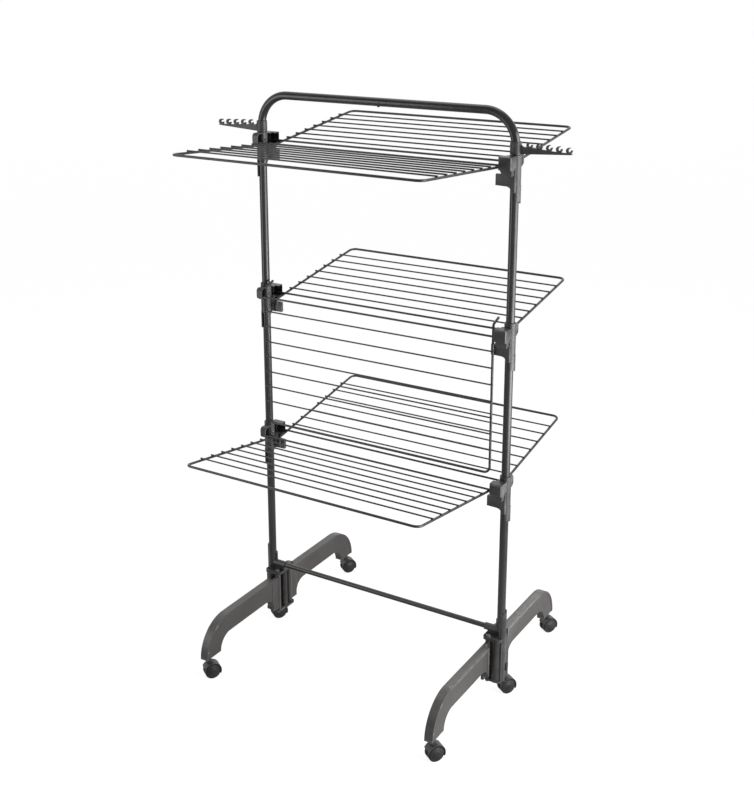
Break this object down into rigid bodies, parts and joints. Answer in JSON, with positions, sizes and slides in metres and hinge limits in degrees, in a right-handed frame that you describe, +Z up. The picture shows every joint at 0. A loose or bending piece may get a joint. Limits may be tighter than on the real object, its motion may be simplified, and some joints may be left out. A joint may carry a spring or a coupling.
{
  "type": "clothes drying rack",
  "caption": "Tall indoor clothes airer: tube frame on casters with swinging wire wings on tiers, hook arms and folding legs.",
  "frame": {"origin": "on the floor under the middle of the rack, between the two posts", "axes": "+X across the rack to its right, -Y the front, +Z up"},
  "size_m": [0.9428, 0.7335, 1.443],
  "materials": {
    "tube_paint": "satin grey powder coat",
    "bar_paint": "satin dark grey powder coat",
    "inner_steel": "plain steel, hidden inside the tubes",
    "pin_steel": "plain steel",
    "bolt_black": "black zinc",
    "bracket_plastic": "moulded dark grey",
    "base_plastic": "moulded dark grey",
    "wire_coat": "dark grey coated wire",
    "rung_coat": "dark grey coated wire",
    "hook_plastic": "moulded grey",
    "leg_plastic": "moulded warm grey",
    "caster_housing": "moulded grey",
    "wheel_plastic": "moulded black grey"
  },
  "bodies": {
    "frame": {"top_tube_left": "tube_paint", "top_tube_right": "tube_paint", "top_joiner": "inner_steel", "lower_tube_left": "tube_paint", "lower_tube_right": "tube_paint", "post_coupler_left": "inner_steel", "post_coupler_right": "inner_steel", "bracket_top_left": "bracket_plastic", "bracket_top_right": "bracket_plastic", "bracket_mid_left": "bracket_plastic", "bracket_mid_right": "bracket_plastic", "bracket_low_left": "bracket_plastic", "bracket_low_right": "bracket_plastic", "bracket_pins": "pin_steel", "base_block_left": "base_plastic", "base_block_right": "base_plastic", "stretcher_bar": "bar_paint", "leg_bolts": "bolt_black"},
    "wing_top_front": {"wing_top_front_frame": "wire_coat", "wing_top_front_rungs": "rung_coat"},
    "wing_top_back": {"wing_top_back_frame": "wire_coat", "wing_top_back_rungs": "rung_coat"},
    "wing_mid_front": {"wing_mid_front_frame": "wire_coat", "wing_mid_front_rungs": "rung_coat"},
    "wing_mid_back": {"wing_mid_back_frame": "wire_coat", "wing_mid_back_rungs": "rung_coat"},
    "wing_low_front": {"wing_low_front_frame": "wire_coat", "wing_low_front_rungs": "rung_coat"},
    "wing_low_back": {"wing_low_back_frame": "wire_coat", "wing_low_back_rungs": "rung_coat"},
    "hook_arm_left": {"hook_arm_left": "hook_plastic"},
    "hook_arm_right": {"hook_arm_right": "hook_plastic"},
    "leg_front_left": {"leg_front_left": "leg_plastic"},
    "leg_front_right": {"leg_front_right": "leg_plastic"},
    "leg_back_left": {"leg_back_left": "leg_plastic"},
    "leg_back_right": {"leg_back_right": "leg_plastic"},
    "caster_front_left": {"caster_fork_front_left": "caster_housing"},
    "wheels_front_left": {"caster_wheels_front_left": "wheel_plastic"},
    "caster_front_right": {"caster_fork_front_right": "caster_housing"},
    "wheels_front_right": {"caster_wheels_front_right": "wheel_plastic"},
    "caster_back_left": {"caster_fork_back_left": "caster_housing"},
    "wheels_back_left": {"caster_wheels_back_left": "wheel_plastic"},
    "caster_back_right": {"caster_fork_back_right": "caster_housing"},
    "wheels_back_right": {"caster_wheels_back_right": "wheel_plastic"},
    "caster_mid_left": {"caster_fork_mid_left": "caster_housing"},
    "wheels_mid_left": {"caster_wheels_mid_left": "wheel_plastic"},
    "caster_mid_right": {"caster_fork_mid_right": "caster_housing"},
    "wheels_mid_right": {"caster_wheels_mid_right": "wheel_plastic"}
  },
  "joints": [
    {"name": "top_front_wing_fold", "type": "hinge", "parent": "frame", "child": "wing_top_front", "pos_m": [0, -0.0294, 1.3187], "axis": [1, 0, 0], "range_deg": [0, 93.7]},
    {"name": "top_back_wing_fold", "type": "hinge", "parent": "frame", "child": "wing_top_back", "pos_m": [0, 0.0294, 1.3187], "axis": [-1, 0, 0], "range_deg": [0, 97.4]},
    {"name": "mid_front_wing_fold", "type": "hinge", "parent": "frame", "child": "wing_mid_front", "pos_m": [0, -0.0294, 0.9294], "axis": [1, 0, 0], "range_deg": [-98, 0]},
    {"name": "mid_back_wing_fold", "type": "hinge", "parent": "frame", "child": "wing_mid_back", "pos_m": [0, 0.0294, 0.9294], "axis": [-1, 0, 0], "range_deg": [0, 99.2]},
    {"name": "low_front_wing_fold", "type": "hinge", "parent": "frame", "child": "wing_low_front", "pos_m": [0, -0.0294, 0.555], "axis": [1, 0, 0], "range_deg": [0, 98.2]},
    {"name": "low_back_wing_fold", "type": "hinge", "parent": "frame", "child": "wing_low_back", "pos_m": [0, 0.0294, 0.555], "axis": [-1, 0, 0], "range_deg": [0, 100.1]},
    {"name": "left_hook_arm_swing", "type": "hinge", "parent": "frame", "child": "hook_arm_left", "pos_m": [-0.34, 0, 1.3543], "axis": [0, 0, -1], "range_deg": [-90, 90]},
    {"name": "right_hook_arm_swing", "type": "hinge", "parent": "frame", "child": "hook_arm_right", "pos_m": [0.34, 0, 1.3543], "axis": [0, 0, 1], "range_deg": [-90, 90]},
    {"name": "front_left_leg_fold", "type": "hinge", "parent": "frame", "child": "leg_front_left", "pos_m": [-0.3145, -0.015, 0.1], "axis": [0, 0, 1], "range_deg": [0, 74]},
    {"name": "front_right_leg_fold", "type": "hinge", "parent": "frame", "child": "leg_front_right", "pos_m": [0.3145, -0.015, 0.1], "axis": [0, 0, -1], "range_deg": [0, 74]},
    {"name": "back_left_leg_fold", "type": "hinge", "parent": "frame", "child": "leg_back_left", "pos_m": [-0.3145, 0.037, 0.1], "axis": [0, 0, -1], "range_deg": [0, 74]},
    {"name": "back_right_leg_fold", "type": "hinge", "parent": "frame", "child": "leg_back_right", "pos_m": [0.3145, 0.037, 0.1], "axis": [0, 0, 1], "range_deg": [0, 74]},
    {"name": "front_left_caster_swivel", "type": "hinge", "parent": "leg_front_left", "child": "caster_front_left", "pos_m": [-0.32, -0.309, 0.045], "axis": [0, 0, 1], "continuous": true},
    {"name": "front_left_wheel_roll", "type": "hinge", "parent": "caster_front_left", "child": "wheels_front_left", "pos_m": [-0.31609, -0.3032, 0.02], "axis": [0.829, -0.5592, 0], "continuous": true},
    {"name": "front_right_caster_swivel", "type": "hinge", "parent": "leg_front_right", "child": "caster_front_right", "pos_m": [0.32, -0.309, 0.045], "axis": [0, 0, 1], "continuous": true},
    {"name": "front_right_wheel_roll", "type": "hinge", "parent": "caster_front_right", "child": "wheels_front_right", "pos_m": [0.32391, -0.3032, 0.02], "axis": [0.829, -0.5592, 0], "continuous": true},
    {"name": "back_left_caster_swivel", "type": "hinge", "parent": "leg_back_left", "child": "caster_back_left", "pos_m": [-0.32, 0.331, 0.045], "axis": [0, 0, 1], "continuous": true},
    {"name": "back_left_wheel_roll", "type": "hinge", "parent": "caster_back_left", "child": "wheels_back_left", "pos_m": [-0.31609, 0.3368, 0.02], "axis": [0.829, -0.5592, 0], "continuous": true},
    {"name": "back_right_caster_swivel", "type": "hinge", "parent": "leg_back_right", "child": "caster_back_right", "pos_m": [0.32, 0.331, 0.045], "axis": [0, 0, 1], "continuous": true},
    {"name": "back_right_wheel_roll", "type": "hinge", "parent": "caster_back_right", "child": "wheels_back_right", "pos_m": [0.32391, 0.3368, 0.02], "axis": [0.829, -0.5592, 0], "continuous": true},
    {"name": "mid_left_caster_swivel", "type": "hinge", "parent": "frame", "child": "caster_mid_left", "pos_m": [-0.345, 0.016, 0.045], "axis": [0, 0, 1], "continuous": true},
    {"name": "mid_left_wheel_roll", "type": "hinge", "parent": "caster_mid_left", "child": "wheels_mid_left", "pos_m": [-0.34109, 0.0218, 0.02], "axis": [0.829, -0.5592, 0], "continuous": true},
    {"name": "mid_right_caster_swivel", "type": "hinge", "parent": "frame", "child": "caster_mid_right", "pos_m": [0.345, 0.016, 0.045], "axis": [0, 0, 1], "continuous": true},
    {"name": "mid_right_wheel_roll", "type": "hinge", "parent": "caster_mid_right", "child": "wheels_mid_right", "pos_m": [0.34891, 0.0218, 0.02], "axis": [0.829, -0.5592, 0], "continuous": true}
  ]
}
